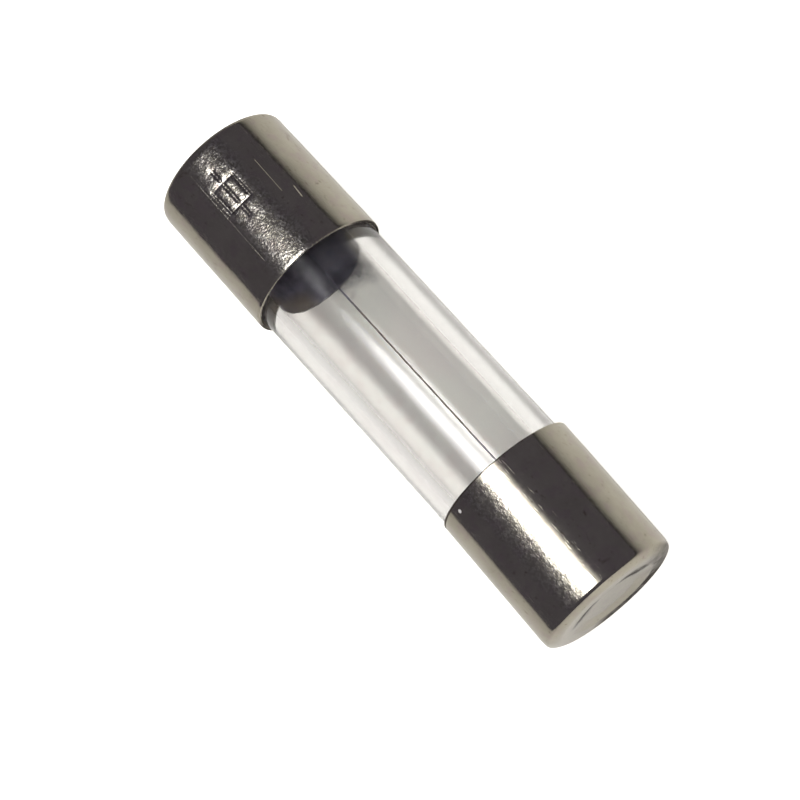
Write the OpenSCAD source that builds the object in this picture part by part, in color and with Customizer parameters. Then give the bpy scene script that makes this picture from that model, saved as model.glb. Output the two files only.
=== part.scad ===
// Glass cartridge fuse, 5 x 20 mm size. Its axis is X, the plain cap is at +X, and Z is up as it lies on a table.
// The origin is the middle of the fuse.

/* [Overall] */
// Length over both caps
fuse_len = 20; // [19.5:0.1:20.5]
// Outer diameter of the caps
cap_d = 5.1; // [5:0.05:5.3]

/* [Caps] */
// Length of the stamped cap at -X
marked_cap_len = 5.4; // [4.8:0.05:6.4]
// Length of the plain cap at +X
plain_cap_len = 5.3; // [4.8:0.05:6.4]
// Sheet thickness of the skirt that grips the tube
skirt_wall = 0.09; // [0.08:0.01:0.15]
// Sheet thickness of the end face
end_wall = 0.2; // [0.15:0.01:0.25]
// Outer radius where the skirt turns into the end face
corner_r = 0.45; // [0.35:0.05:0.6]
// Inner radius of the same corner
inner_corner_r = 0.25; // [0.15:0.05:0.3]
// Diameter of the shallow dish in the end face
dish_d = 3.2; // [2.4:0.1:3.4]
// Diameter of the flat floor of the dish
dish_floor_d = 2.2; // [1.6:0.1:2.4]
// Depth of the dish
dish_depth = 0.1; // [0.05:0.01:0.12]

/* [Stamped mark] */
// Length of the stamped box along the fuse
mark_len = 1.1; // [0.8:0.1:1.6]
// Width of the stamped box around the cap
mark_width = 1; // [0.6:0.1:1.2]
// Length of the line that runs out of each end of the box
mark_lead = 0.5; // [0.2:0.1:0.8]
// Width of each stamped stroke
mark_stroke = 0.12; // [0.08:0.01:0.16]
// Depth of the strokes
mark_depth = 0.04; // [0.02:0.01:0.06]
// Turn of the mark about the fuse axis, from straight up toward +Y
mark_turn = 10; // [-40:1:40]
// Distance from the closed end of the cap to the middle of the mark
mark_from_end = 2.15; // [2.15:0.05:3]

/* [Tube] */
// Room between the glass tube and the inside of the skirt
tube_room = 0.07; // [0.07:0.01:0.12]
// Wall of the glass tube
tube_wall = 0.7; // [0.4:0.05:0.8]
// Radius of the flame-polished edges at the tube ends
tube_edge_r = 0.15; // [0.1:0.01:0.18]
// Gap between a tube end and the inside of the end face
tube_end_gap = 0.25; // [0.22:0.01:0.35]

/* [Fuse wire] */
// Diameter of the fuse wire
wire_d = 0.06; // [0.05:0.01:0.06]
// Distance of the wire's straight run from the axis, toward +Y
wire_offset = 0.2; // [0:0.05:0.5]
// Length of each wire tail folded back over the outside of the tube
wire_tail = 1.2; // [0.6:0.1:2]

/* [Solder] */
// How far the solder climbs the bore past the tube end
solder_climb = 0.7; // [0.5:0.05:1]
// Radius of the hollow surface of the solder
solder_hollow_r = 3.2; // [2.8:0.1:5]

/* [Part shown] */
// Which part is drawn

/* [Hidden] */
$fn = 180;
half_len = fuse_len / 2;
cap_r = cap_d / 2;
cap_in_r = cap_r - skirt_wall;
tube_r = cap_in_r - tube_room;
bore_r = tube_r - tube_wall;
tube_half = half_len - end_wall - tube_end_gap;
dish_r = dish_d / 2;
dish_floor_r = dish_floor_d / 2;
wire_r = wire_d / 2;
// Radius of the wire's centreline in its bends
wire_bend_r = 2 * wire_d;
// Place of the wire that crosses the tube end, just clear of the glass
wire_cross = tube_half + wire_d;
// Place of the wire that runs back between the tube and the skirt
wire_seat_r = (tube_r + cap_in_r) / 2;
// The solder stops at the middle of the glass wall, short of the wire's outer bend
solder_r = tube_r - tube_wall / 2;
wide = cap_d * 2;
steel = [0.74, 0.72, 0.66];
glass = [0.85, 0.92, 0.95, 0.4];
tin = [0.55, 0.55, 0.57];
copper = [0.72, 0.5, 0.38];

// Turns a profile about the fuse axis. In the profile X is the radius and Y the distance along the fuse.
module turned() {
    rotate([0, 90, 0]) rotate_extrude() children();
}

// Half section of a bar with one rounded corner at its far end
module rounded_bar(r, len, edge) {
    square([r - edge, len]);
    square([r, len - edge]);
    translate([r - edge, len - edge]) intersection() {
        circle(edge);
        square(edge);
    }
}

// Half section of the dish, with its floor at 0 and its mouth at dish_depth, filled on up to top
module dish_section(top) {
    polygon([[0, 0], [dish_floor_r, 0], [dish_r, dish_depth], [dish_r, top], [0, top]]);
}

// Half section of a cap, from its open rim at 0 to its end face at len
module cap_profile(len) {
    difference() {
        union() {
            difference() {
                rounded_bar(cap_r, len, corner_r);
                rounded_bar(cap_in_r, len - end_wall, inner_corner_r);
                square([cap_r, skirt_wall / 2]);
            }
            translate([cap_r - skirt_wall / 2, skirt_wall / 2]) circle(skirt_wall / 2);
            translate([0, len - end_wall - dish_depth]) dish_section(end_wall + dish_depth);
        }
        translate([0, len - dish_depth]) dish_section(end_wall);
    }
}

// A generic mark: a box with a line through it
module mark_strokes() {
    difference() {
        cube([mark_len, mark_width, wide], center = true);
        cube([mark_len - 2 * mark_stroke, mark_width - 2 * mark_stroke, wide], center = true);
    }
    cube([mark_len + 2 * mark_lead, mark_stroke, wide], center = true);
}

// The stamped strokes, as the metal they remove from the skin of the cap
module stamped_mark() {
    intersection() {
        rotate([0, 90, 0]) difference() {
            cylinder(r = cap_r + mark_depth, h = wide, center = true);
            cylinder(r = cap_r - mark_depth, h = wide, center = true);
        }
        rotate([-mark_turn, 0, 0]) translate([0, 0, wide / 2]) mark_strokes();
    }
}

// Half of the solder's section, from the inside of the end face at 0 back into the bore
module solder_profile() {
    climb_end = tube_end_gap + solder_climb;
    difference() {
        union() {
            square([bore_r, climb_end]);
            square([solder_r, tube_end_gap]);
        }
        translate([0, climb_end + sqrt(solder_hollow_r * solder_hollow_r - bore_r * bore_r)])
            circle(solder_hollow_r);
        mirror([0, 1]) translate([0, -dish_depth]) dish_section(end_wall);
        translate([bore_r, tube_end_gap]) difference() {
            square(tube_edge_r);
            translate([tube_edge_r, tube_edge_r]) circle(tube_edge_r);
        }
    }
}

// One solder joint at the +X end, with the wire's own channel left open
module solder_joint() {
    difference() {
        translate([half_len - end_wall, 0, 0]) mirror([1, 0, 0]) turned() solder_profile();
        wire_half();
    }
}

// Half of the wire: straight run, turn outward across the tube end, turn back along the outside
module wire_half() {
    run = wire_cross - wire_bend_r;
    out = wire_seat_r - wire_offset - 2 * wire_bend_r;
    translate([0, wire_offset, 0]) rotate([0, 90, 0]) cylinder(r = wire_r, h = run);
    translate([run, wire_offset + wire_bend_r, 0]) rotate([0, 0, -90]) wire_bend();
    translate([wire_cross, wire_offset + wire_bend_r, 0]) rotate([-90, 0, 0]) cylinder(r = wire_r, h = out);
    translate([run, wire_seat_r - wire_bend_r, 0]) wire_bend();
    translate([run - wire_tail, wire_seat_r, 0]) rotate([0, 90, 0]) cylinder(r = wire_r, h = wire_tail);
}

// A quarter turn of the wire
module wire_bend() {
    rotate_extrude(angle = 90) translate([wire_bend_r, 0]) circle(wire_r);
}

module glass_tube() {
    color(glass) for (side = [0, 1]) mirror([side, 0, 0]) turned() difference() {
        rounded_bar(tube_r, tube_half, tube_edge_r);
        square([bore_r, tube_half]);
        translate([bore_r, tube_half - tube_edge_r]) difference() {
            square(tube_edge_r);
            translate([tube_edge_r, 0]) circle(tube_edge_r);
        }
    }
}

module end_cap_marked() {
    color(steel) difference() {
        mirror([1, 0, 0]) translate([half_len - marked_cap_len, 0, 0]) turned() cap_profile(marked_cap_len);
        translate([mark_from_end - half_len, 0, 0]) stamped_mark();
    }
}

module end_cap_plain() {
    color(steel) translate([half_len - plain_cap_len, 0, 0]) turned() cap_profile(plain_cap_len);
}

module fuse_wire() {
    color(copper) {
        wire_half();
        mirror([1, 0, 0]) wire_half();
    }
}

module solder_marked() {
    color(tin) mirror([1, 0, 0]) solder_joint();
}

module solder_plain() {
    color(tin) solder_joint();
}

glass_tube();
end_cap_marked();
end_cap_plain();
fuse_wire();
solder_marked();
solder_plain();
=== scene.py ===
"""Looks for a glass cartridge fuse: two nickel-plated caps, a glass tube, a fine wire and its solder."""

import math
from collections import namedtuple

import bmesh
import bpy
from mathutils import Matrix, Vector, noise


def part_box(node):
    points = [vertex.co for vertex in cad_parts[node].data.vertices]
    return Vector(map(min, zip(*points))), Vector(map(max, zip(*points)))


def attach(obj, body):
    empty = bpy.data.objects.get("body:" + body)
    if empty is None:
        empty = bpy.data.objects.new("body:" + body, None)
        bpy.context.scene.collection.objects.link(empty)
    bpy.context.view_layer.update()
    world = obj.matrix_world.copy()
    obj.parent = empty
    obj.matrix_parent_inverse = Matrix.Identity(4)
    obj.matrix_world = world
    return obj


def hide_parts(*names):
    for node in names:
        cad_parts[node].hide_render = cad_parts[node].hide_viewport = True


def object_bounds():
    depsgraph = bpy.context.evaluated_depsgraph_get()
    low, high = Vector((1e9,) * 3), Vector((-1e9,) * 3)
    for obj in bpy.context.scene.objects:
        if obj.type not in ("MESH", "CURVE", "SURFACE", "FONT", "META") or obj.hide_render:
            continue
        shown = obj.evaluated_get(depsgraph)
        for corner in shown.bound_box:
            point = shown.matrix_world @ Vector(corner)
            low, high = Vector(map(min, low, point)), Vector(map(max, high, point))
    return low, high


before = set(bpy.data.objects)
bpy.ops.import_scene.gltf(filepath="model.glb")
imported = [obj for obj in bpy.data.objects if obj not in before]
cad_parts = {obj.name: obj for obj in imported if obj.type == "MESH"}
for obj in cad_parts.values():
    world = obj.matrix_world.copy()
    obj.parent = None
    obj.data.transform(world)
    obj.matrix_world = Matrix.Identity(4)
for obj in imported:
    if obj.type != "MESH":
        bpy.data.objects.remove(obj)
cad_low, cad_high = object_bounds()
MM = 0.001


def span(node):
    """Lowest and highest corner of a CAD node, in millimetres."""
    low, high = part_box(node)
    return Vector(low) / MM, Vector(high) / MM


# ---------------------------------------------------------------- sizes, in millimetres
# Angles around the fuse, called turns, run from +Z (up) toward +Y. Distances called depth run
# along the fuse from a cap's closed end.
tube_high = span("glass_tube")[1]
plain_low, plain_high = span("end_cap_plain")
marked_high = span("end_cap_marked")[1]

HALF_LEN = plain_high.x
CAP_R = plain_high.z
TUBE_R = tube_high.z
TUBE_HALF = tube_high.x
TUBE_END = HALF_LEN - TUBE_HALF  # depth of the tube's end
MARKED_LEN = marked_high.x + HALF_LEN
PLAIN_LEN = HALF_LEN - plain_low.x

SKIRT_WALL = 0.09
END_WALL = 0.2
CORNER_DEPTH = 0.5
# The closed end's corner, from the skirt inward: slope at a bend's start and end in degrees, and its radius
CORNER_BENDS = [(0, 10, 1.44), (10, 55, 0.186), (55, 90, 0.72)]
INNER_CORNER_R = 0.2
RIM_EDGE_R = 0.02
DISH_R = 1.6
DISH_FLOOR_R = 1.1
DISH_DEPTH = 0.1
DISH_BLEND = 0.1  # share of the dish wall's width that is rounded at each end
TUBE_WALL = 0.7
TUBE_EDGE_R = 0.15
WIRE_R = 0.03
WIRE_OFFSET = 0.2
WIRE_TAIL = 1.2
WIRE_BEND_R = 4 * WIRE_R
SOLDER_GAP = 0.003
SOLDER_SEAT_EDGE = 0.05
SOLDER_EDGE = 0.03
SOLDER_BEVEL = 0.01
SOLDER_CLIMB = 0.7
SOLDER_HOLLOW_R = 3.2

BORE_R = TUBE_R - TUBE_WALL
CAP_IN_R = CAP_R - SKIRT_WALL
SOLDER_R = TUBE_R - TUBE_WALL / 2

# The generic stamped mark
MARK_DEPTH_IN = 2.15
MARK_LEN = 1.1
MARK_WIDTH = 1.0
MARK_LEAD = 0.5
MARK_STROKE = 0.12
MARK_SINK = 0.04
MARK_SLANT = 0.025
MARK_FLOOR_FADE = 0.06
MARK_TURN = math.radians(10)
STROKE_SHOULDER = 0.05
PILLOW_REACH = 0.22
PILLOW_WIDTH = 0.3
PILLOW_SHARE = 0.25

# Unevenness of the skirts. Waves are lump size, height and seed.
MARKED_WAVES = [(1.6, 0.006, 3), (0.35, 0.0012, 7)]
MARKED_FLARE = 0.04
MARKED_FLARE_PIVOT = 0.75
MARKED_FLARE_TURN = math.radians(100)
RIM_ROLL = 0.014
RIM_ROLL_LEN = 0.1
PLAIN_WAVES = [(2.2, 0.003, 11), (0.4, 0.0006, 17)]
PLAIN_LOW_BULGE = 0.014
PLAIN_LOW_FROM, PLAIN_LOW_RISE = math.radians(80), math.radians(50)
PLAIN_LOW_TO, PLAIN_LOW_FALL = math.radians(6), math.radians(24)
PLAIN_HIGH_BULGE = 0.024
PLAIN_HIGH_TURN, PLAIN_HIGH_HALF = math.radians(82), math.radians(34)
SKIN_SHARE = 0.55  # share of the sheet's thickness, from outside in, that follows the uneven skin
TUBE_WAVE, TUBE_WAVE_SIZE, TUBE_WAVE_STRETCH = 0.002, 1.3, 3
TUBE_OUTSIDE_SEED, TUBE_BORE_SEED = 23, 31
SOLDER_WAVE, SOLDER_WAVE_SIZE = 0.06, 0.6
# How far from the tube's end, and from the glass, the solder's waves start, and over what distance they grow
SOLDER_FREE_DEPTH = (0.2, 0.3)
SOLDER_FREE_GLASS = (0.05, 0.2)

# Mesh spacing. Rows are close together between two radii, where the dish's wall is.
FINE_FROM_R, FINE_TO_R = 0.95, 1.75
FACE_GAP, FACE_FINE_GAP = 0.1, 0.03
INSIDE_GAP, INSIDE_FINE_GAP = 0.15, 0.05
FLOOR_EDGE_R = 1.95
CORNER_STEPS = 12
EDGE_STEPS = 6
CAP_BORE_ROWS = 20
SKIRT_GAP, SKIRT_FINE_GAP, SKIRT_WIDE_GAP = 0.05, 0.02, 0.08
MARK_MARGIN_ALONG, MARK_MARGIN_ACROSS = 0.1, 0.12
MARKED_COLUMN_GAP = 0.058
PLAIN_COLUMNS = 300
TUBE_ROWS = 150
TUBE_EDGE_STEPS = 8
TUBE_COLUMNS = 192
WIRE_SIDES = 16
WIRE_RUN_ROWS, WIRE_SHORT_ROWS, WIRE_BEND_STEPS = 24, 12, 8
SOLDER_COLUMNS = 96
SOLDER_CLIMB_ROWS = 4
SOLDER_HOLLOW_GAP = 0.08

# ---------------------------------------------------------------- view, as the photograph was taken
AXIS_TILT = math.radians(16.57)      # the fuse's plain end points this much toward the camera
VIEW_LEAN = math.radians(18)         # the camera stands this far from straight above the axis, toward +Y
AXIS_ON_FRAME = math.radians(-47.8)  # direction of the fuse axis in the frame, from the right
CAMERA_DISTANCE = 0.085
AIM = Vector((0.385, -0.792, 0.137)) * MM
FIELD = math.radians(17.49)

# How far each cap leans on the tube: about the line of sight, and about the line across it
MARKED_CAP_LEANS = (math.radians(-0.4), math.radians(-1.4))
PLAIN_CAP_LEANS = (math.radians(-1.5), 0)

# ---------------------------------------------------------------- mesh helpers


def smooth(value):
    """0 below 0, 1 above 1, and an S-curve between."""
    t = min(1.0, max(0.0, value))
    return t * t * (3 - 2 * t)


def grain(x, y, z, size, seed):
    """Smooth random value from -1 to 1 whose lumps are about size wide."""
    return noise.noise(Vector((x / size + seed, y / size, z / size)))


def waves(x, y, z, rows):
    """Sum of grains, with a row of lump size, height and seed for each."""
    return sum(height * grain(x, y, z, size, seed) for size, height, seed in rows)


def stations(*stops):
    """Rising values through (place, spacing) stops. Each spacing holds up to the next place."""
    out = []
    for (start, gap), (end, _) in zip(stops, stops[1:]):
        count = max(1, round((end - start) / gap))
        out += [start + (end - start) * k / count for k in range(count)]
    return out + [stops[-1][0]]


def around(count):
    """Evenly spaced turns."""
    return [2 * math.pi * k / count for k in range(count)]


def arc(x, r, radius, start, end, steps):
    """Points on an arc about (x, r). Angles in degrees from +x toward +r."""
    angles = [math.radians(start + (end - start) * k / steps) for k in range(steps + 1)]
    return [(x + radius * math.cos(t), r + radius * math.sin(t)) for t in angles]


def line(a, b, steps):
    """Points from a to b, with both ends."""
    run, rise = b[0] - a[0], b[1] - a[1]
    return [(a[0] + run * k / steps, a[1] + rise * k / steps) for k in range(steps + 1)]


def joined(*runs):
    """One outline from runs of points, without the doubles where they meet."""
    out = []
    for run in runs:
        for point in run:
            if not out or math.dist(out[-1], point) > 1e-6:
                out.append(point)
    return out


def linked(name, bm):
    """An object in the scene, made from a bmesh."""
    mesh = bpy.data.meshes.new(name)
    bm.to_mesh(mesh)
    bm.free()
    thing = bpy.data.objects.new(name, mesh)
    bpy.context.scene.collection.objects.link(thing)
    return thing


def finished(name, bm):
    """A smooth-shaded object with outward normals."""
    bmesh.ops.recalc_face_normals(bm, faces=bm.faces)
    piece = linked(name, bm)
    piece.data.polygons.foreach_set("use_smooth", [True] * len(piece.data.polygons))
    return piece


def lathe_row(bm, depth, r, turns, place):
    """A lathed piece's points for one point of its outline: a ring, or a pole where the radius is 0."""
    if r < 1e-6:
        return [bm.verts.new(Vector((place(depth, 0, 0)[0], 0, 0)) * MM)]
    row = []
    for turn in turns:
        x, out = place(depth, r, turn)
        row.append(bm.verts.new(Vector((x, out * math.sin(turn), out * math.cos(turn))) * MM))
    return row


def faces_between(a, b):
    """Corners of the faces between two rows, either of which may be a pole."""
    count = max(len(a), len(b))
    for k in range(count):
        n = (k + 1) % count
        if len(a) == 1:
            yield a[0], b[k], b[n]
        elif len(b) == 1:
            yield a[k], b[0], a[n]
        else:
            yield a[k], b[k], b[n], a[n]


def lathe(name, outline, turns, place, second=None):
    """Turns an outline of (depth, radius) points into a closed piece, with a column at each of turns.

    place(depth, radius, turn) gives each point's (x, radius). An outline that starts and ends at
    radius 0 gets poles there, and any other is a closed ring. Faces from the outline's point number
    second on take the second material.
    """
    bm = bmesh.new()
    rows = [lathe_row(bm, depth, r, turns, place) for depth, r in outline]
    ring = len(rows[0]) > 1
    following = rows[1:] + rows[:1] if ring else rows[1:]
    for index, (a, b) in enumerate(zip(rows, following)):
        for corners in faces_between(a, b):
            face = bm.faces.new(corners)
            face.material_index = int(second is not None and index >= second)
    return finished(name, bm)


# ---------------------------------------------------------------- caps


def dish_sink(r):
    """Depth of the end face's dish at radius r: a flat floor and a straight wall, rounded where they meet."""
    up_wall = (r - DISH_FLOOR_R) / (DISH_R - DISH_FLOOR_R)
    rise = min(1.0, max(0.0, up_wall))
    near_floor = max(0, 1 - abs(up_wall) / DISH_BLEND)
    near_mouth = max(0, 1 - abs(up_wall - 1) / DISH_BLEND)
    rise += 0.25 * DISH_BLEND * (near_floor**2 - near_mouth**2)
    return DISH_DEPTH * (1 - rise)


def corner_outline():
    """The turn from the end face to the skirt: a low dome, a tight bend and a slow rise onto the skirt."""
    depth, r = CORNER_DEPTH, CAP_R
    out = [(depth, r)]
    for start, end, bend_r in CORNER_BENDS:
        first = math.radians(start)
        for k in range(1, CORNER_STEPS + 1):
            slope = math.radians(start + (end - start) * k / CORNER_STEPS)
            inward = bend_r * (math.sin(slope) - math.sin(first))
            drop = bend_r * (math.cos(first) - math.cos(slope))
            out.append((depth - inward, r - drop))
        depth, r = out[-1]
    return [(max(0.0, depth), r) for depth, r in reversed(out)]


def cap_outline(skirt):
    """Cap outline, and the number of its first point inside.

    It runs out from the middle of the end face, along the skirt's depths, round the rim, and back to
    the middle inside.
    """
    corner = corner_outline()
    corner_r = corner[0][1]
    face_radii = stations((0, FACE_GAP), (FINE_FROM_R, FACE_FINE_GAP), (FINE_TO_R, FACE_GAP), (corner_r, 1))
    face = [(dish_sink(r), r) for r in face_radii[:-1]]
    outside = joined(face, corner, [(depth, CAP_R) for depth in skirt])

    edge = RIM_EDGE_R
    rim_depth = skirt[-1]
    outer_edge = arc(rim_depth, CAP_R - edge, edge, 90, 0, EDGE_STEPS)
    inner_edge = arc(rim_depth, CAP_IN_R + edge, edge, 0, -90, EDGE_STEPS)

    turn_depth = END_WALL + INNER_CORNER_R
    bore = line((rim_depth, CAP_IN_R), (turn_depth, CAP_IN_R), CAP_BORE_ROWS)
    turn_in = arc(turn_depth, CAP_IN_R - INNER_CORNER_R, INNER_CORNER_R, 90, 180, EDGE_STEPS)
    floor_radii = stations((0, INSIDE_GAP), (FINE_FROM_R, INSIDE_FINE_GAP), (FINE_TO_R, 1), (FLOOR_EDGE_R, 1))
    floor = [(END_WALL + dish_sink(r), r) for r in reversed(floor_radii)]
    first_inside = len(outside) + EDGE_STEPS + 2
    return joined(outside, outer_edge, inner_edge, bore, turn_in, floor), first_inside


def rim_roll(depth):
    """How far the last of the marked cap's skirt is rolled in toward the glass."""
    return RIM_ROLL * smooth((depth - MARKED_LEN + RIM_ROLL_LEN) / RIM_ROLL_LEN)


def stroke_sink(distance, half):
    """Depth of a stamped stroke at a distance from its middle line, with soft shoulders."""
    pressed = smooth((half + STROKE_SHOULDER - distance) / (2 * STROKE_SHOULDER))
    pillow = smooth((half + PILLOW_REACH - distance) / PILLOW_WIDTH)
    return MARK_SINK * ((1 - PILLOW_SHARE) * pressed + PILLOW_SHARE * pillow)


def mark_sink(depth, turn):
    """Depth of the generic mark: a box with a line through it, whose floor slants."""
    along = abs(depth - MARK_DEPTH_IN)
    across = abs(CAP_R * (math.remainder(turn - MARK_TURN, 2 * math.pi)))
    half = MARK_STROKE / 2
    box_x, box_y = MARK_LEN / 2 - half, MARK_WIDTH / 2 - half
    if along < box_x and across < box_y:
        to_box = min(box_x - along, box_y - across)
    else:
        to_box = math.hypot(max(0, along - box_x), max(0, across - box_y))
    reach = MARK_LEN / 2 + MARK_LEAD - half
    to_line = math.hypot(max(0, along - reach), across)
    in_length = smooth((box_x + half - along) / MARK_FLOOR_FADE)
    in_width = smooth((box_y + half - across) / MARK_FLOOR_FADE)
    slant = MARK_SLANT * (in_length * in_width) * (depth - MARK_DEPTH_IN + MARK_LEN / 2)
    return max(stroke_sink(to_box, half), stroke_sink(to_line, half)) + slant


def skirt_point(depth, turn):
    """A point on the skirt, for the grain functions."""
    return depth, CAP_R * math.sin(turn), CAP_R * math.cos(turn)


def marked_skin(depth, turn):
    """How far the marked cap's skirt stands out from a true cylinder. It flares on its +Y side."""
    out = -mark_sink(depth, turn) - rim_roll(depth)
    out += waves(*skirt_point(depth, turn), MARKED_WAVES)
    flare = smooth(depth / MARKED_LEN) - MARKED_FLARE_PIVOT
    out += MARKED_FLARE * flare * smooth(math.cos(turn - MARKED_FLARE_TURN))
    return out


def plain_skin(depth, turn):
    """How far the plain cap's skirt stands out from a true cylinder.

    It bulges on its -Y side toward the closed end, and on its +Y side toward the rim.
    """
    out = waves(*skirt_point(depth, turn), PLAIN_WAVES)
    turn = math.remainder(turn, 2 * math.pi)
    low_side = smooth((PLAIN_LOW_TO - turn) / PLAIN_LOW_FALL)
    low_side *= smooth((turn + PLAIN_LOW_FROM) / PLAIN_LOW_RISE)
    out += PLAIN_LOW_BULGE * low_side * smooth((PLAIN_LEN - depth) / PLAIN_LEN)
    high_side = max(0.0, 1 - abs(turn - PLAIN_HIGH_TURN) / PLAIN_HIGH_HALF)
    out += PLAIN_HIGH_BULGE * smooth(high_side) * smooth(depth / PLAIN_LEN)
    return out


def sight_line():
    """Unit vector square to the fuse axis, toward the camera's side."""
    return Vector((0, math.sin(VIEW_LEAN), math.cos(VIEW_LEAN)))


def leaned(piece, middle, leans):
    """Turns a cap's mesh round the middle of its grip on the tube, by the two angles of its lean."""
    across = Vector((0, math.cos(VIEW_LEAN), -math.sin(VIEW_LEAN)))
    pivot = Vector((middle, 0, 0)) * MM
    turn = Matrix.Rotation(leans[0], 4, sight_line()) @ Matrix.Rotation(leans[1], 4, across)
    piece.data.transform(Matrix.Translation(pivot) @ turn @ Matrix.Translation(-pivot))
    return piece


def make_cap(name, side, skirt, turns, skin, roll):
    """One cap. side is 1 at the +X end and -1 at the other."""
    outline, inside = cap_outline(skirt)

    def place(depth, r, turn):
        in_skin = r > CAP_R - SKIN_SHARE * SKIRT_WALL
        in_bore = r > CAP_IN_R - 0.01 and depth > CORNER_DEPTH
        if in_skin or depth < END_WALL:
            r += skin(depth, turn) * smooth((depth - DISH_DEPTH) / (CORNER_DEPTH - DISH_DEPTH))
        elif in_bore:
            r -= roll(depth)
        return side * (HALF_LEN - depth), r

    return lathe(name, outline, turns, place, second=inside)


def marked_cap():
    """The cap with the stamped mark, with a finer mesh around the mark and at the rim."""
    reach = MARK_LEN / 2 + MARK_LEAD + MARK_MARGIN_ALONG
    skirt = stations(
        (CORNER_DEPTH, SKIRT_GAP),
        (MARK_DEPTH_IN - reach, SKIRT_FINE_GAP),
        (MARK_DEPTH_IN + reach, SKIRT_WIDE_GAP),
        (MARKED_LEN - 2 * RIM_ROLL_LEN, SKIRT_FINE_GAP),
        (MARKED_LEN - RIM_EDGE_R, 1),
    )
    half = (MARK_WIDTH / 2 + MARK_MARGIN_ACROSS) / CAP_R
    fine_gap, wide_gap = SKIRT_FINE_GAP / CAP_R, MARKED_COLUMN_GAP / CAP_R
    turns = stations((-half, fine_gap), (half, wide_gap), (2 * math.pi - half, 1))
    turns = [MARK_TURN + t for t in turns[:-1]]
    piece = make_cap("cap_marked_shell", -1, skirt, turns, marked_skin, rim_roll)
    return leaned(piece, (marked_high.x - TUBE_HALF) / 2, MARKED_CAP_LEANS)


def plain_cap():
    """The cap with the plain skirt."""
    skirt = stations((CORNER_DEPTH, SKIRT_GAP), (PLAIN_LEN - RIM_EDGE_R, 1))
    piece = make_cap("cap_plain_shell", 1, skirt, around(PLAIN_COLUMNS), plain_skin, lambda depth: 0)
    return leaned(piece, (plain_low.x + TUBE_HALF) / 2, PLAIN_CAP_LEANS)


# ---------------------------------------------------------------- tube, wire and solder


def tube_outline():
    """The tube's wall as a ring, and the number of its first point inside the bore."""
    edge = TUBE_EDGE_R
    end = TUBE_HALF - edge
    outside = line((-end, TUBE_R), (end, TUBE_R), TUBE_ROWS)
    plain_end = joined(
        arc(end, TUBE_R - edge, edge, 90, 0, TUBE_EDGE_STEPS),
        arc(end, BORE_R + edge, edge, 0, -90, TUBE_EDGE_STEPS),
    )
    bore = line((end, BORE_R), (-end, BORE_R), TUBE_ROWS)
    marked_end = joined(
        arc(-end, BORE_R + edge, edge, -90, -180, TUBE_EDGE_STEPS),
        arc(-end, TUBE_R - edge, edge, 180, 90, TUBE_EDGE_STEPS),
    )
    first = len(joined(outside, plain_end))
    return joined(outside, plain_end, bore, marked_end)[:-1], first


def make_tube():
    """The glass tube, drawn glass whose wall is not quite even."""

    def place(x, r, turn):
        y, z = r * math.sin(turn), r * math.cos(turn)
        seed = TUBE_OUTSIDE_SEED if r > BORE_R + 0.1 else TUBE_BORE_SEED
        return x, r + TUBE_WAVE * grain(x / TUBE_WAVE_STRETCH, y, z, TUBE_WAVE_SIZE, seed)

    outline, bore = tube_outline()
    return lathe("tube_wall", outline, around(TUBE_COLUMNS), place, second=bore)


def wire_path():
    """Half of the wire's middle line as (x, y), from the middle of the fuse to the end of its tail."""
    cross = TUBE_HALF + 2 * WIRE_R
    seat = (TUBE_R + CAP_IN_R) / 2
    bend = WIRE_BEND_R
    return joined(
        line((0, WIRE_OFFSET), (cross - bend, WIRE_OFFSET), WIRE_RUN_ROWS),
        arc(cross - bend, WIRE_OFFSET + bend, bend, -90, 0, WIRE_BEND_STEPS),
        line((cross, WIRE_OFFSET + bend), (cross, seat - bend), WIRE_SHORT_ROWS),
        arc(cross - bend, seat - bend, bend, 0, 90, WIRE_BEND_STEPS),
        line((cross - bend, seat), (cross - bend - WIRE_TAIL, seat), WIRE_SHORT_ROWS),
    )


def wire_ring(bm, point, ahead):
    """A ring of points around the wire's middle line."""
    side = Vector((0, 0, 1))
    across = ahead.cross(side)
    ring = []
    for turn in around(WIRE_SIDES):
        outward = math.cos(turn) * across + math.sin(turn) * side
        ring.append(bm.verts.new((point + WIRE_R * outward) * MM))
    return ring


def make_wire():
    """The whole wire as a swept tube with closed ends."""
    half = wire_path()
    path = [Vector((-x, y, 0)) for x, y in reversed(half[1:])] + [Vector((x, y, 0)) for x, y in half]
    bm = bmesh.new()
    rings = []
    for k, point in enumerate(path):
        ahead = path[min(k + 1, len(path) - 1)] - path[max(k - 1, 0)]
        rings.append(wire_ring(bm, point, ahead.normalized()))
    for a, b in zip(rings, rings[1:]):
        for i in range(WIRE_SIDES):
            j = (i + 1) % WIRE_SIDES
            bm.faces.new((a[i], a[j], b[j], b[i]))
    bm.faces.new(rings[0])
    bm.faces.new(list(reversed(rings[-1])))
    return finished("wire_strand", bm)


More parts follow.
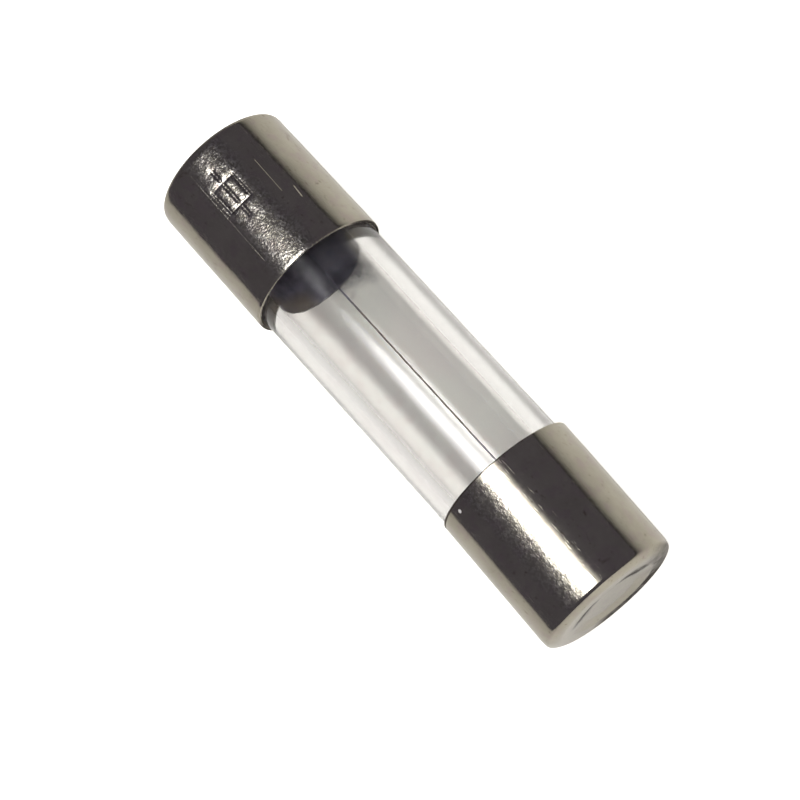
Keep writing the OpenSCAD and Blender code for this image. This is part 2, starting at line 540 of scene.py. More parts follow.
def solder_outline():
    """Solder's outline from its middle on the end face to the middle of its hollow surface."""
    gap = SOLDER_GAP
    edge = TUBE_EDGE_R
    top = TUBE_END + SOLDER_CLIMB
    seat_r = SOLDER_R - SOLDER_SEAT_EDGE
    seat_radii = stations((0, INSIDE_GAP), (FINE_FROM_R, INSIDE_FINE_GAP), (FINE_TO_R, FACE_GAP), (seat_r, 1))
    seat = [(END_WALL + gap + dish_sink(r), r) for r in seat_radii]
    # The outer side, with its edges broken
    rise = [
        (END_WALL + SOLDER_EDGE, SOLDER_R - SOLDER_BEVEL),
        (END_WALL + 2 * SOLDER_EDGE, SOLDER_R),
        (TUBE_END - SOLDER_EDGE, SOLDER_R),
        (TUBE_END - gap, SOLDER_R - 2 * SOLDER_BEVEL),
    ]
    round_glass = arc(TUBE_END + edge, BORE_R + edge - gap, edge, 180, 270, EDGE_STEPS)[1:]
    climb = line((TUBE_END + edge, BORE_R - gap), (top, BORE_R - 2 * gap), SOLDER_CLIMB_ROWS)
    deep = math.sqrt(SOLDER_HOLLOW_R**2 - BORE_R**2)
    hollow_radii = stations((0, SOLDER_HOLLOW_GAP), (BORE_R - 2 * gap, 1))
    hollow = [(top + deep - math.sqrt(SOLDER_HOLLOW_R**2 - r * r), r) for r in reversed(hollow_radii)]
    return joined(seat, rise, round_glass, climb, hollow)


def make_solder(name, side):
    """Solder in one end, uneven where it set in the open."""

    def place(depth, r, turn):
        y, z = r * math.sin(turn), r * math.cos(turn)
        off_face = smooth((depth - TUBE_END - SOLDER_FREE_DEPTH[0]) / SOLDER_FREE_DEPTH[1])
        off_glass = smooth((BORE_R - SOLDER_FREE_GLASS[0] - r) / SOLDER_FREE_GLASS[1])
        lump = SOLDER_WAVE * (off_face * off_glass) * grain(y, z, depth, SOLDER_WAVE_SIZE, side * 5)
        return side * (HALF_LEN - depth - lump), r

    return lathe(name, solder_outline(), around(SOLDER_COLUMNS), place)


# ---------------------------------------------------------------- node trees


class Nodes:
    """The node tree of a material or a lamp, with short calls for the nodes used here."""

    def __init__(self, owner):
        owner.use_nodes = True
        self.owner = owner
        self.tree = owner.node_tree

    def feed(self, socket, value):
        """Links another node's output to a socket, or sets the socket's own value."""
        if isinstance(value, bpy.types.NodeSocket):
            self.tree.links.new(value, socket)
        else:
            socket.default_value = value

    def add(self, kind, inputs=None, **settings):
        """A new node with these inputs and settings."""
        node = self.tree.nodes.new(kind)
        for key, value in settings.items():
            setattr(node, key, value)
        for key, value in (inputs or {}).items():
            self.feed(node.inputs[key], value)
        return node

    def math(self, operation, *values):
        return self.add("ShaderNodeMath", dict(enumerate(values)), operation=operation).outputs[0]

    def plus(self, a, b):
        return self.math("ADD", a, b)

    def minus(self, a, b):
        return self.math("SUBTRACT", a, b)

    def times(self, a, *others):
        for b in others:
            a = self.math("MULTIPLY", a, b)
        return a

    def over(self, a, b):
        return self.math("DIVIDE", a, b)

    def larger(self, a, b):
        return self.math("MAXIMUM", a, b)

    def size_of(self, a):
        return self.math("ABSOLUTE", a)

    def vector_math(self, operation, *values):
        """Vector output of a vector operation."""
        return self.add("ShaderNodeVectorMath", dict(enumerate(values)), operation=operation).outputs[0]

    def measure(self, operation, *values):
        """Single value of a vector operation, such as a length."""
        node = self.add("ShaderNodeVectorMath", dict(enumerate(values)), operation=operation)
        return node.outputs["Value"]

    def scaled(self, vector, scale):
        return self.add("ShaderNodeVectorMath", {0: vector, "Scale": scale}, operation="SCALE").outputs[0]

    def stretched(self, where, x, y, z):
        return self.vector_math("MULTIPLY", where, (x, y, z))

    def split(self, vector):
        """X, Y and Z of a vector."""
        outputs = self.add("ShaderNodeSeparateXYZ", {0: vector}).outputs
        return outputs["X"], outputs["Y"], outputs["Z"]

    def place(self):
        """Object coordinates in millimetres."""
        return self.scaled(self.add("ShaderNodeTexCoord").outputs["Object"], 1 / MM)

    def ramp(self, value, low, high, to_low=0.0, to_high=1.0):
        """An S-curve from to_low to to_high as value goes from low to high."""
        inputs = {"Value": value, "From Min": low, "From Max": high, "To Min": to_low, "To Max": to_high}
        return self.add("ShaderNodeMapRange", inputs, interpolation_type="SMOOTHSTEP").outputs[0]

    def noise(self, where, size, detail=2.0, roughness=0.5, distortion=0.0):
        """Noise whose lumps are about size millimetres wide."""
        inputs = {"Vector": where, "Scale": 1 / size, "Detail": detail}
        inputs.update({"Roughness": roughness, "Distortion": distortion})
        return self.add("ShaderNodeTexNoise", inputs).outputs["Fac"]

    def patches(self, where, size, low, high, to_low=0.0, to_high=1.0, **settings):
        """Patches of noise: to_low where it is under low, and to_high where it is over high."""
        return self.ramp(self.noise(where, size, **settings), low, high, to_low, to_high)

    def mix(self, factor, a, b):
        """Colour b over colour a, by factor."""
        node = self.add("ShaderNodeMix", {0: factor}, data_type="RGBA")
        for key, colour in ((6, a), (7, b)):
            self.feed(node.inputs[key], (*colour, 1) if isinstance(colour, tuple) else colour)
        return node.outputs[2]

    def bump(self, height, depth, normal=None):
        """Bump from a height of 0 to 1 that stands for depth millimetres."""
        inputs = {"Height": height, "Strength": 1.0, "Distance": depth * MM}
        if normal:
            inputs["Normal"] = normal
        return self.add("ShaderNodeBump", inputs).outputs[0]

    def finish(self, shader):
        """Ends a material with this shader, and gives the material."""
        out = self.add("ShaderNodeOutputMaterial")
        self.tree.links.new(shader.outputs[0], out.inputs[0])
        return self.owner


def new_material(name):
    """The empty node tree of a new material."""
    n = Nodes(bpy.data.materials.new(name))
    n.tree.nodes.clear()
    return n


# ---------------------------------------------------------------- nickel plate
PLATE_PALE = (0.458, 0.426, 0.345)
PLATE_DEEP = (0.4, 0.37, 0.298)
BRUISE = (0.39, 0.3, 0.31)
STAIN = (0.17, 0.12, 0.075)
SPECK = (0.16, 0.11, 0.07)
GRIT_DARK = (0.05, 0.047, 0.046)
GRIT_PALE = (0.4, 0.385, 0.36)
FLECK = (0.7, 0.68, 0.66)
# Colours of the dark diffuse layer on the caps, which is mostly painted shade
PAINTED_SHADE_BROWN = (0.055, 0.042, 0.035)
PAINTED_SHADE_GREY = (0.035, 0.03, 0.028)

# How much each of these colours covers at most
BRUISE_SHARE = 0.4
STAIN_SHARE = 0.5
SPECK_SHARE = 0.55
FACE_DARKENING = 0.08  # the whole end face is darkened this much
# Painted shade: how dark the rim is made at most
RIM_SHADE = 0.85

PLATE_ROUGHNESS = 0.1
PLATE_ROUGHNESS_WAVE = 0.04
FLECK_ROUGHNESS = 0.6
FLECK_CORE = 0.7  # share of a fleck's radius that it covers in full
PEEL_DEPTH = 0.0015
HAIRLINE_DEPTH = 0.0006
SCUFF_WANDER = 0.3  # radians
SCRATCH_HALF_WIDTH = 0.045
SCRATCH_END = 0.08

# Fades. Each runs from where something starts to where it is full, by depth or radius in millimetres,
# or for a SIDE by the cosine of the angle from its middle.
FACE_FADE = (0.2, 0.05)
PAST_FACE_FADE = (0.1, 0.4)
SCUFF_FADE = (1.6, 0.6)  # times the band's half width
# The fades below place the dark layer: painted shade on the corner, the dish's wall and the rim, and the
# darker side of the end face's outer ring.
RING_FADE = (DISH_R - 0.05, DISH_R + 0.1)
CORNER_R_FADE = (DISH_R - 0.1, DISH_R + 0.05)
CORNER_DEPTH_FADE = (0.17, 0.1)
DISH_WALL_FADE = (0.5, 0.2)  # from the middle of the wall
RIM_FADE = (0.045, 0.015)    # from the rim
FACE_DARK_SIDE = (0.2, 0.8)
FACE_DARK_OFF = math.radians(35)
CORNER_SHADE_SIDE = (0.35, 0.85)
DISH_SHADE_SIDE = (0.8, 0.98)

# What wears each cap, and where painted shade lies on it. Turns are in degrees, depths and sizes in
# millimetres.
# - the first two entries: the middle of the painted shade on the corner, and the turns of the painted shade
#   on the dish's wall
# - scuff: a band along the skirt, with how deep and wide its pits are, how rough and how dull it is
# - scratches: depth and turn of both ends, and how deep the groove is
# - flecks: depth, turn and size of specks of dust
MARKED_WEAR_AND_SHADE = {
    "shaded_turn": 18,
    "dish_shades": [],
    "scuff": {"turn": 13, "half": 15, "pit_depth": 0.012, "pit_size": 0.09, "rough": 0.14, "dull": 0.8},
    "scratches": [(1.65, 41, 3.2, 40, 0.012), (3.25, 50, 3.7, 49, 0.02), (0.6, -4, 4.6, -4.5, 0.008)],
    "flecks": [],
}
PLAIN_WEAR_AND_SHADE = {
    "shaded_turn": 173,
    "dish_shades": [63, -27],
    "scuff": {"turn": -4, "half": 10, "pit_depth": 0.01, "pit_size": 0.12, "rough": 0.12, "dull": 0.45},
    "scratches": [(3.87, -20, 3.75, -14, 0.018)],
    "flecks": [(5.02, -26.3, 0.09)],
}

OnCap = namedtuple("OnCap", "where turn depth radius")


def places_on_cap(n):
    """Where a shaded point is on its cap."""
    where = n.place()
    x, y, z = n.split(where)
    turn = n.math("ARCTAN2", y, z)
    depth = n.minus(HALF_LEN, n.size_of(x))
    radius = n.measure("LENGTH", n.stretched(where, 0, 1, 1))
    return OnCap(where, turn, depth, radius)


def scuffed_band(n, at, scuff):
    """How scuffed the skirt is: patches in a band along it, which wanders a little."""
    half = math.radians(scuff["half"])
    wander = n.times(n.minus(n.noise(at.where, 1.4), 0.5), SCUFF_WANDER)
    off = n.size_of(n.minus(n.plus(at.turn, wander), math.radians(scuff["turn"])))
    in_band = n.ramp(off, half * SCUFF_FADE[0], half * SCUFF_FADE[1])
    past_face = n.ramp(at.depth, *PAST_FACE_FADE)
    patches = n.patches(at.where, 0.4, 0.35, 0.65, to_low=0.5, detail=4, roughness=0.6)
    return n.times(in_band, past_face, patches)


def tarnished(n, where, cloud):
    """The plate's colour, with clouds, bruises, stains and fine specks."""
    colour = n.mix(cloud, PLATE_PALE, PLATE_DEEP)
    bruise = n.patches(where, 0.45, 0.45, 0.7, detail=3, roughness=0.6)
    colour = n.mix(n.times(bruise, BRUISE_SHARE), colour, BRUISE)
    stain = n.patches(where, 0.55, 0.62, 0.76, detail=4, roughness=0.65, distortion=0.6)
    colour = n.mix(n.times(stain, STAIN_SHARE), colour, STAIN)
    specks = n.patches(n.stretched(where, 0.6, 1, 1), 0.16, 0.62, 0.7, detail=3, roughness=0.7)
    return n.mix(n.times(specks, SPECK_SHARE), colour, SPECK)


def toward(n, at, turn):
    """1 on the side of the cap at this turn, and -1 on the opposite side."""
    return n.math("COSINE", n.minus(at.turn, turn))


def painted_shade_cover(n, at, length, wear_and_shade):
    """How much the dark layer covers the plate: painted shade on the corner, the dish's wall and the rim, a
    darker side of the end face's outer ring, and a faint darkening of the whole end face.
    """
    shaded_turn = math.radians(wear_and_shade["shaded_turn"])
    on_face = n.ramp(at.depth, *FACE_FADE)
    mottle = n.patches(at.where, 0.4, 0.3, 0.7, to_low=0.35, to_high=0.65, detail=3, roughness=0.6)
    outside_dish = n.ramp(at.radius, *RING_FADE)
    # A darker, mottled side of the end face's outer ring, and a faint darkening of the whole face
    on_side = n.ramp(toward(n, at, shaded_turn - FACE_DARK_OFF), *FACE_DARK_SIDE)
    face_dark_side = n.times(outside_dish, on_side, on_face, mottle)
    cover = n.larger(face_dark_side, n.times(on_face, FACE_DARKENING))

    # Painted shade: the corner darkened on one side, where it mirrors the shade under the cap's end
    at_corner = n.times(n.ramp(at.radius, *CORNER_R_FADE), n.ramp(at.depth, *CORNER_DEPTH_FADE))
    on_side = n.ramp(toward(n, at, shaded_turn), *CORNER_SHADE_SIDE)
    patches = n.patches(at.where, 0.5, 0.3, 0.6, to_low=0.65, to_high=0.9, detail=3, roughness=0.6)
    cover = n.larger(cover, n.times(at_corner, on_side, patches))

    # Painted shade: dark patches on the dish's wall, where it mirrors the shade under the cap's end
    off_wall = n.size_of(n.minus(at.radius, (DISH_R + DISH_FLOOR_R) / 2))
    on_wall = n.ramp(off_wall, *DISH_WALL_FADE)
    for shade_turn in wear_and_shade["dish_shades"]:
        near = n.ramp(toward(n, at, math.radians(shade_turn)), *DISH_SHADE_SIDE)
        patches = n.patches(at.where, 0.35, 0.25, 0.6, to_low=0.4, to_high=0.8, detail=3, roughness=0.65)
        cover = n.larger(cover, n.times(on_wall, n.times(near, patches), on_face))

    # Painted shade: the rim darkened like the shadowed gap by the glass
    at_rim = n.ramp(at.depth, length - RIM_FADE[0], length - RIM_FADE[1], 0.0, RIM_SHADE)
    return n.larger(cover, at_rim)


def scratched(n, at, scratch, normal):
    """A straight groove across the skirt, added to the normal."""
    depth_a, degrees_a, depth_b, degrees_b, cut = scratch
    turn_a, turn_b = math.radians(degrees_a), math.radians(degrees_b)
    run = Vector((depth_b - depth_a, CAP_R * (turn_b - turn_a), 0))
    ahead = run.normalized()
    along = n.minus(at.depth, (depth_a + depth_b) / 2)
    aside = n.times(n.minus(at.turn, (turn_a + turn_b) / 2), CAP_R)
    here = n.add("ShaderNodeCombineXYZ", {"X": along, "Y": aside, "Z": 0.0}).outputs[0]
    forward = n.size_of(n.measure("DOT_PRODUCT", here, ahead))
    sideways = n.size_of(n.measure("DOT_PRODUCT", here, (-ahead.y, ahead.x, 0)))
    half = run.length / 2
    in_length = n.ramp(forward, half + SCRATCH_END, half - SCRATCH_END)
    in_width = n.ramp(sideways, SCRATCH_HALF_WIDTH, 0.0)
    return n.bump(n.minus(1.0, n.times(in_length, in_width)), cut, normal)


def worn_normal(n, at, scuffed, wear_and_shade):
    """The plate's normal: orange peel, scuff pits, hairlines along it and the scratches."""
    scuff = wear_and_shade["scuff"]
    normal = n.bump(n.noise(at.where, 0.3, 2), PEEL_DEPTH)
    pits = n.noise(at.where, scuff["pit_size"], 2, 0.6)
    normal = n.bump(n.times(pits, scuffed), scuff["pit_depth"], normal)
    hairlines = n.patches(n.stretched(at.where, 1, 12, 12), 0.5, 0.62, 0.72)
    normal = n.bump(hairlines, HAIRLINE_DEPTH, normal)
    for scratch in wear_and_shade["scratches"]:
        normal = scratched(n, at, scratch, normal)
    return normal


def nickel(name, side, length, wear_and_shade):
    """Bright nickel plate, a little tarnished and worn, under a dark layer that is mostly painted shade. side
    is 1 at the +X end, and length is the cap's.
    """
    n = new_material(name)
    at = places_on_cap(n)
    scuff = wear_and_shade["scuff"]
    scuffed = scuffed_band(n, at, scuff)
    cloud = n.patches(at.where, 1.1, 0.3, 0.7, detail=4, roughness=0.65)
    grit = n.mix(n.patches(at.where, 0.1, 0.42, 0.58, roughness=0.7), GRIT_DARK, GRIT_PALE)
    colour = n.mix(n.times(scuffed, scuff["dull"]), tarnished(n, at.where, cloud), grit)
    rough = n.plus(PLATE_ROUGHNESS, n.times(scuffed, scuff["rough"]))
    uneven = n.patches(at.where, 0.16, 0.3, 0.7, detail=3, roughness=0.55)
    rough = n.plus(rough, n.times(uneven, PLATE_ROUGHNESS_WAVE))
    metal = 1.0
    for depth, degrees, size in wear_and_shade["flecks"]:
        turn = math.radians(degrees)
        middle = (side * (HALF_LEN - depth), CAP_R * math.sin(turn), CAP_R * math.cos(turn))
        fleck = n.ramp(n.measure("DISTANCE", at.where, middle), size, size * FLECK_CORE)
        colour = n.mix(fleck, colour, FLECK)
        metal = n.minus(metal, fleck)
        rough = n.plus(rough, n.times(fleck, FLECK_ROUGHNESS))
    plate = n.add("ShaderNodeBsdfPrincipled", {
        "Base Color": colour,
        "Metallic": metal,
        "Roughness": rough,
        "Normal": worn_normal(n, at, scuffed, wear_and_shade),
        "Specular Tint": (0.85, 0.85, 0.85, 1),
        "Coat Weight": 0.2,
        "Coat Roughness": 0.42,
    })
    # The dark diffuse layer over the plate: painted shade on the corner, the dish's wall and the rim, and a
    # darker end face
    layer_colour = n.mix(cloud, PAINTED_SHADE_BROWN, PAINTED_SHADE_GREY)
    shade_layer = n.add("ShaderNodeBsdfDiffuse", {"Color": layer_colour, "Roughness": 0.5})
    cover = painted_shade_cover(n, at, length, wear_and_shade)
    return n.finish(n.add("ShaderNodeMixShader", {0: cover, 1: plate.outputs[0], 2: shade_layer.outputs[0]}))


# ---------------------------------------------------------------- other materials
FLUX_DARK = (0.37, 0.36, 0.45)
FLUX_PALE = (0.56, 0.55, 0.66)
BARE_INSIDE = (0.66, 0.6, 0.51)
INSIDE_SPECK = (0.6, 0.58, 0.6)
TIN_BRIGHT = (0.6, 0.58, 0.68)
TIN_FLUXED = (0.32, 0.31, 0.37)
TIN_SPECK = (0.55, 0.54, 0.55)
GLASS_COOL = (0.985, 0.99, 0.97)
GLASS_WARM = (0.99, 0.975, 0.965)
GLASS_SMEAR = (0.96, 0.93, 0.915)
# Painted shade: colour of the dark film on the bore
GLASS_PAINTED_SHADE = (0.035, 0.032, 0.045)
GLASS_IOR = 1.5
DUST_ROUGHNESS = 0.12
HAZE_ROUGHNESS = 0.16
SMEAR_ROUGHNESS = 0.05
WIRE_DARK = (0.16, 0.14, 0.13)
WIRE_WARM = (0.24, 0.2, 0.17)
WIRE_NEAR_CAP = (0.25, 0.24, 0.28)

# Fades, in millimetres from the marked cap's rim unless said otherwise
BARE_FADE = (0.9, 0.3)
BARE_SIDES = (1.2, 1.9)   # from the fuse's axis, in Y
# The bore's dark film, which is painted shade
SHADE_FILM_FADE = (2.1, 1.2)
SHADE_FILM_START = (0.5, 1.2)   # the film is thinner before it, by the share below
SHADE_FILM_THIN, SHADE_FILM_FULL = 0.45, 0.95
HAZE_FADE = (2.1, 1.0)
EDGE_WANDER = 1.4
WIRE_GREY_FADE = (2.0, 1.2)
# Sides of the tube, as turns
SMEAR_SIDE = (math.radians(12), math.radians(-12))
SHADE_FILM_SIDE_LOW = (math.radians(8), math.radians(26))
SHADE_FILM_SIDE_HIGH = (math.radians(75), math.radians(55))
HAZE_SIDE = (math.radians(-12), math.radians(20))


def stained_inside(name):
    """The inside of a cap: dull plate under burnt flux, barer by the marked cap's rim."""
    n = new_material(name)
    where = n.place()
    x, y, _ = n.split(where)
    burnt = n.patches(where, 0.5, 0.35, 0.7, detail=4, roughness=0.6)
    colour = n.mix(burnt, FLUX_DARK, FLUX_PALE)
    rim = HALF_LEN - MARKED_LEN
    by_rim = n.ramp(n.size_of(x), rim + BARE_FADE[0], rim + BARE_FADE[1])
    at_sides = n.ramp(n.size_of(y), *BARE_SIDES)
    colour = n.mix(n.times(by_rim, at_sides), colour, BARE_INSIDE)
    specks = n.patches(where, 0.12, 0.72, 0.78, detail=1)
    colour = n.mix(specks, colour, INSIDE_SPECK)
    return n.finish(n.add("ShaderNodeBsdfPrincipled", {
        "Base Color": colour,
        "Metallic": 0.1,
        "Roughness": n.patches(where, 0.3, 0.3, 0.7, to_low=0.4, to_high=0.6),
        "Normal": n.bump(n.noise(where, 0.2, 4, 0.6), 0.01),
    }))


def tin(name):
    """Solder: dull tin with patches of dark flux."""
    n = new_material(name)
    where = n.place()
    flux = n.patches(where, 0.7, 0.38, 0.62, detail=3, roughness=0.6)
    colour = n.mix(flux, TIN_BRIGHT, TIN_FLUXED)
    specks = n.patches(where, 0.1, 0.7, 0.76, detail=1)
    colour = n.mix(specks, colour, TIN_SPECK)
    return n.finish(n.add("ShaderNodeBsdfPrincipled", {
        "Base Color": colour,
        "Metallic": 0.7,
        "Roughness": n.patches(where, 0.4, 0.3, 0.7, to_low=0.35, to_high=0.55),
        "Normal": n.bump(n.noise(where, 0.25, 4, 0.6), 0.012),
    }))


def clear_glass(name, bore):
    """Clear drawn glass, smeared on its lower side.

    With bore, it is for the bore, whose upper side near the marked cap carries a dark film: painted shade
    that widens the dark inside of the cap seen through the glass.
    Without, it is for the outside, which is hazed near the marked cap.
    """
    n = new_material(name)
    where = n.place()
    x, y, z = n.split(where)
    turn = n.math("ARCTAN2", y, z)
    from_cap = n.minus(n.plus(x, HALF_LEN), MARKED_LEN)
    wander = n.times(n.minus(n.noise(where, 0.7, 3), 0.5), EDGE_WANDER)
    uneven = n.plus(from_cap, wander)

    colour = n.mix(n.patches(where, 2.2, 0.3, 0.7), GLASS_COOL, GLASS_WARM)
    smear = n.patches(where, 0.8, 0.48, 0.66, detail=4, roughness=0.65, distortion=0.5)
    smear = n.times(smear, n.ramp(turn, *SMEAR_SIDE))
    colour = n.mix(smear, colour, GLASS_SMEAR)
    rough = n.times(n.patches(where, 0.09, 0.7, 0.8), DUST_ROUGHNESS)
    if bore:
        # Painted shade: the dark film on the bore's upper side near the marked cap
        upper_side = n.times(n.ramp(turn, *SHADE_FILM_SIDE_LOW), n.ramp(turn, *SHADE_FILM_SIDE_HIGH))
        near_cap = n.ramp(uneven, *SHADE_FILM_FADE)
        past_rim = n.ramp(from_cap, *SHADE_FILM_START, SHADE_FILM_THIN, SHADE_FILM_FULL)
        colour = n.mix(n.times(near_cap, upper_side, past_rim), colour, GLASS_PAINTED_SHADE)
    else:
        haze = n.times(n.ramp(uneven, *HAZE_FADE), n.ramp(turn, *HAZE_SIDE))
        rough = n.plus(rough, n.times(haze, HAZE_ROUGHNESS))
    rough = n.plus(rough, n.times(smear, SMEAR_ROUGHNESS))
    draw = n.bump(n.noise(n.stretched(where, 0.35, 1, 1), 0.7, 2), 0.0012)
    return n.finish(n.add("ShaderNodeBsdfPrincipled", {
        "Base Color": colour,
        "Roughness": rough,
        "IOR": GLASS_IOR,
        "Transmission Weight": 1.0,
        "Normal": n.bump(n.noise(where, 0.35, 3, 0.6), 0.0015, draw),
    }))


def drawn_wire(name):
    """Dull plated copper wire with draw lines along it, greyer toward the caps."""
    n = new_material(name)
    where = n.place()
    colour = n.mix(n.patches(where, 0.4, 0.35, 0.65, detail=3), WIRE_DARK, WIRE_WARM)
    depth = n.minus(HALF_LEN, n.size_of(n.split(where)[0]))
    near_cap = n.ramp(depth, MARKED_LEN + WIRE_GREY_FADE[0], MARKED_LEN + WIRE_GREY_FADE[1])
    colour = n.mix(near_cap, colour, WIRE_NEAR_CAP)
    return n.finish(n.add("ShaderNodeBsdfPrincipled", {
        "Base Color": colour,
        "Metallic": 1.0,
        "Roughness": n.patches(where, 0.15, 0.3, 0.7, to_low=0.3, to_high=0.45),
        "Normal": n.bump(n.noise(n.stretched(where, 0.1, 1, 1), 0.012, 2), 0.0008),
    }))


# ---------------------------------------------------------------- build
nickel_marked = nickel("nickel_marked", -1, MARKED_LEN, MARKED_WEAR_AND_SHADE)
nickel_plain = nickel("nickel_plain", 1, PLAIN_LEN, PLAIN_WEAR_AND_SHADE)
inside = stained_inside("cap_inside")
glass_outside = clear_glass("glass_outside", False)
glass_bore = clear_glass("glass_bore", True)
pieces = [
    (marked_cap(), "end_cap_marked", "nickel_plate", [nickel_marked, inside]),
    (plain_cap(), "end_cap_plain", "nickel_plate", [nickel_plain, inside]),
    (make_tube(), "glass_tube", "glass", [glass_outside, glass_bore]),
    (make_wire(), "fuse_wire", "wire", [drawn_wire("dull_wire")]),
    (make_solder("solder_marked_fill", -1), "solder_marked", "solder", [tin("tin_marked")]),
    (make_solder("solder_plain_fill", 1), "solder_plain", "solder", [tin("tin_plain")]),
]
for piece, node, slot, skins in pieces:
    for skin in skins:
        piece.data.materials.append(skin)
    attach(piece, "root")
    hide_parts(node)

# ---------------------------------------------------------------- stage
PAPER_TINT = (1, 0.985, 0.93)
FLOOR_Z = min(cad_low.z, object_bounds()[0].z)
FLOOR_HALF = 2.0
REFLECTED_DROP = 0.02 * MM  # the floor that reflections see lies this far under the one the camera sees
DOME_R = 1.5 * FLOOR_HALF
# How the light on the table falls off: distances in millimetres, and shares of the light
FALL_AHEAD, FALL_BEHIND = 18.0, 8.0
FALL_AHEAD_POWER, FALL_BEHIND_POWER = 1.4, 2.0
LIGHT_AT_FUSE = 1.08
STAYS_BEHIND = 0.68
# How bright each floor's paper is, and how much it glows
SEEN_SHADE, SEEN_GLOW = 0.7, 1.0
REFLECTED_SHADE, REFLECTED_GLOW = 0.82, 0.22


def stage_plane(name, half, z, material):
    """A square, level sheet of the stage."""
    bm = bmesh.new()
    corners = ((-half, -half), (half, -half), (half, half), (-half, half))
    bm.faces.new([bm.verts.new((x, y, z)) for x, y in corners])
    sheet = linked(name, bm)
    sheet.data.materials.append(material)
    return sheet


def fall_off(n, where):
    """Light on the table: it falls away with distance from the fuse, and more on the +Y side."""
    y = n.split(where)[1]
    ahead = n.math("POWER", n.over(n.larger(y, 0.0), FALL_AHEAD), FALL_AHEAD_POWER)
    behind = n.over(n.larger(n.times(y, -1.0), 0.0), FALL_BEHIND)
    behind = n.math("POWER", behind, FALL_BEHIND_POWER)
    light = n.over(LIGHT_AT_FUSE, n.plus(1.0, ahead))
    left_behind = n.plus(STAYS_BEHIND, n.over(1 - STAYS_BEHIND, n.plus(1.0, behind)))
    return n.times(light, left_behind)


def lit_paper(name, shade, glow, dims):
    """Pale paper on a light table: matt, with the faintest mottling, and glowing a little.

    With dims, its light falls off with distance.
    """
    n = new_material(name)
    where = n.place()
    light = fall_off(n, where) if dims else 1.0
    # The tooth of the paper: up to a hundredth darker
    tooth = n.plus(0.99, n.times(n.noise(where, 0.5, 2), 0.01))
    grey = n.times(tooth, shade, light)
    matt = n.add("ShaderNodeBsdfDiffuse", {"Color": n.scaled(PAPER_TINT, grey)})
    glowing = n.add("ShaderNodeEmission", {"Color": (*PAPER_TINT, 1), "Strength": n.times(light, glow)})
    return n.finish(n.add("ShaderNodeAddShader", {0: matt.outputs[0], 1: glowing.outputs[0]}))


def only_for_camera(thing):
    """Leaves a stage piece out of light, shadow, reflections and the view through glass."""
    thing.visible_diffuse = False
    thing.visible_glossy = False
    thing.visible_transmission = False
    thing.visible_shadow = False


def make_floors():
    """The white floor that the camera sees, and the greyer one that the fuse reflects."""
    white = lit_paper("floor_white", SEEN_SHADE, SEEN_GLOW, dims=False)
    seen = stage_plane("floor_seen", FLOOR_HALF, FLOOR_Z, white)
    only_for_camera(seen)
    grey = lit_paper("floor_grey", REFLECTED_SHADE, REFLECTED_GLOW, dims=True)
    reflected = stage_plane("floor_reflected", FLOOR_HALF, FLOOR_Z - REFLECTED_DROP, grey)
    reflected.visible_camera = False


def make_backdrop():
    """A white dome behind everything that the camera sees, so that low views end in white."""
    bm = bmesh.new()
    bmesh.ops.create_uvsphere(bm, u_segments=48, v_segments=24, radius=DOME_R)
    dome = linked("backdrop", bm)
    n = new_material("backdrop_white")
    white = n.add("ShaderNodeEmission", {"Color": (1, 1, 1, 1), "Strength": 1.0})
    dome.data.materials.append(n.finish(white))
    only_for_camera(dome)


make_floors()
make_backdrop()

# ---------------------------------------------------------------- light, in metres
LAMP_Z = 0.25
LAMP_X = (-0.092, 0.086)
LAMP_FADE = 0.13     # share of the lamp's length over which its -X edge fades in
LAMP_MIDDLE = 0.022
LAMP_SPREAD = 0.044  # distance from the middle at which its light is down to 1/e
LAMP_SPREADS = 4.4   # the lamp's width, in spreads
LAMP_RADIANCE = 13.5
ROOM_COLOUR = (0.114, 0.107, 0.132, 1)


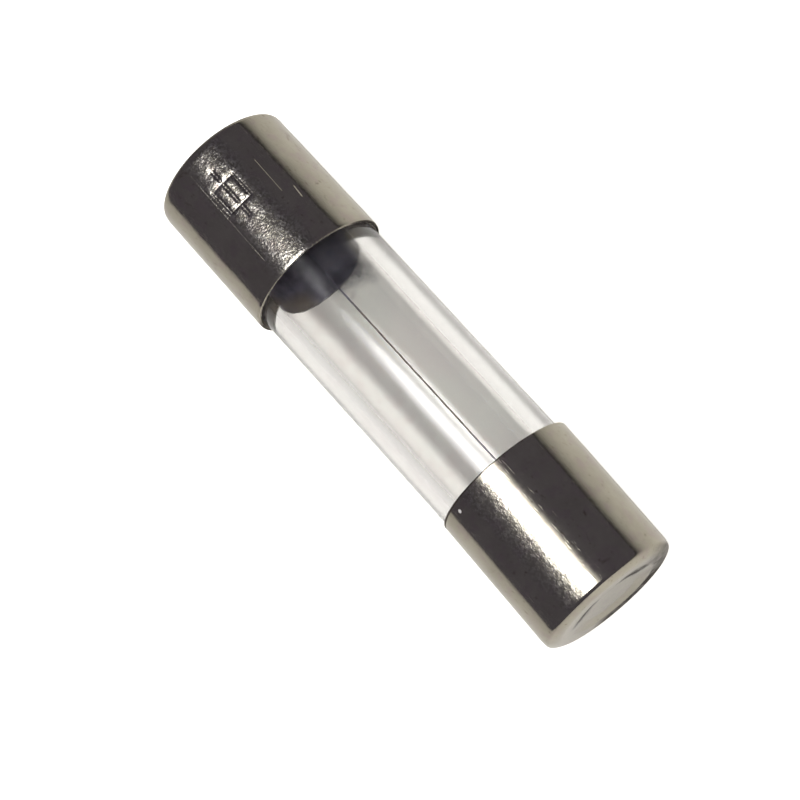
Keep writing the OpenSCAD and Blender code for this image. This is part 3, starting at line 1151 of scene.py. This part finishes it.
def make_lamp():
    """A softbox overhead, brightest along its middle. Its light fades toward its sides and its -X edge."""
    data = bpy.data.lights.new("softbox", "AREA")
    data.shape = "RECTANGLE"
    data.size = LAMP_X[1] - LAMP_X[0]
    data.size_y = LAMP_SPREADS * LAMP_SPREAD
    data.energy = LAMP_RADIANCE * math.pi * data.size * data.size_y
    n = Nodes(data)
    along, across, _ = n.split(n.add("ShaderNodeNewGeometry").outputs["Parametric"])
    aside = n.times(n.minus(across, 0.5), LAMP_SPREADS)
    bell = n.math("EXPONENT", n.times(n.times(aside, aside), -1.0))
    strength = n.times(bell, n.ramp(along, 0.0, LAMP_FADE))
    n.feed(n.tree.nodes["Emission"].inputs["Strength"], strength)
    lamp = bpy.data.objects.new("softbox", data)
    lamp.location = (sum(LAMP_X) / 2, LAMP_MIDDLE, LAMP_Z)
    bpy.context.scene.collection.objects.link(lamp)


def make_room():
    """A dim, faintly violet room all round."""
    world = bpy.data.worlds.new("room")
    bpy.context.scene.world = world
    world.use_nodes = True
    background = world.node_tree.nodes["Background"]
    background.inputs["Color"].default_value = ROOM_COLOUR
    background.inputs["Strength"].default_value = 1.0


make_lamp()
make_room()

# ---------------------------------------------------------------- camera and render settings


def place_camera():
    """The camera at the photograph's viewing angle."""
    axis = Vector((1, 0, 0))
    back = axis * math.sin(AXIS_TILT) + sight_line() * math.cos(AXIS_TILT)
    axis_in_frame = (axis - back * back.x).normalized()
    across = back.cross(axis_in_frame)
    cosine, sine = math.cos(AXIS_ON_FRAME), math.sin(AXIS_ON_FRAME)
    right = axis_in_frame * cosine - across * sine
    up = axis_in_frame * sine + across * cosine
    data = bpy.data.cameras.new("camera")
    data.angle = FIELD
    data.clip_start = 0.001
    data.clip_end = 10
    camera = bpy.data.objects.new("camera", data)
    turn = Matrix((right, up, back)).transposed()
    camera.matrix_world = Matrix.Translation(AIM + back * CAMERA_DISTANCE) @ turn.to_4x4()
    bpy.context.scene.collection.objects.link(camera)
    bpy.context.scene.camera = camera


place_camera()
scene = bpy.context.scene
scene.view_settings.view_transform = "Standard"
scene.cycles.transmission_bounces = 16
scene.cycles.max_bounces = 24
scene.cycles.glossy_bounces = 8
scene.cycles.use_denoising = True
